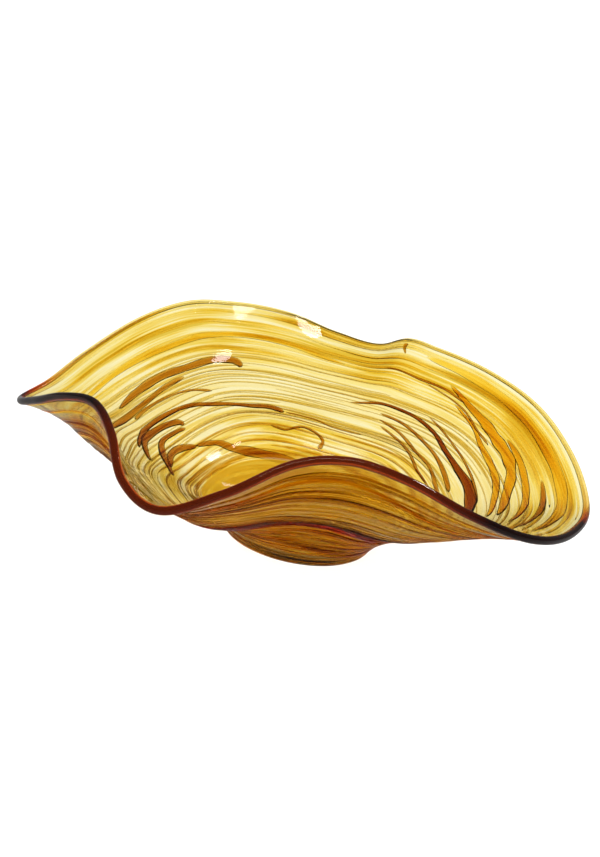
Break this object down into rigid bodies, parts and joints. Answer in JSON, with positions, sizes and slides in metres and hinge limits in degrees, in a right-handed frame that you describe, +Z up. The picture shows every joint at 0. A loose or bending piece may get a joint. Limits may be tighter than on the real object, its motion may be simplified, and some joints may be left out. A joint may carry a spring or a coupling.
{
  "type": "art glass bowl",
  "caption": "Free-form centrepiece bowl of clear straw glass with a waved lip, wound amber threads and trails, standing on a thick ground base.",
  "frame": {"origin": "centre of the ground flat under the base, on the surface the bowl stands on", "axes": "+Z up out of the bowl, +X towards the low right lobe of the lip, -Y towards the high front crest of the lip"},
  "size_m": [0.4934, 0.4402, 0.153],
  "materials": {
    "clear_glass": "clear straw glass, fire-polished",
    "base_glass": "clear olive-gold glass, ground flat and polished underneath",
    "lip_glass": "dark brown glass, fire-polished",
    "olive_glass": "clear olive glass, glossy",
    "brown_glass": "clear brown glass, glossy",
    "amber_glass": "clear amber glass, glossy",
    "gold_glass": "clear golden glass, glossy"
  },
  "bodies": {
    "root": {"bowl_wall": "clear_glass", "base_pad": "base_glass", "lip_wrap": "lip_glass", "lower_thread": "brown_glass", "middle_thread": "olive_glass", "upper_thread": "amber_glass", "long_trail": "brown_glass", "long_trail_tail": "brown_glass", "hook_trail": "brown_glass", "inner_hook_trail": "brown_glass", "upper_trail": "brown_glass", "upper_trail_limb": "brown_glass", "short_trail": "brown_glass", "drip_trail": "brown_glass", "floor_trail_left": "brown_glass", "floor_trail_back": "brown_glass", "right_dark_trail": "brown_glass", "right_amber_trail": "amber_glass", "right_amber_fork": "amber_glass", "right_gold_trail": "amber_glass", "right_low_trail": "brown_glass", "right_gold_band": "gold_glass", "left_gold_band": "gold_glass", "front_crest_trail": "amber_glass", "front_low_trail": "brown_glass"}
  },
  "joints": []
}
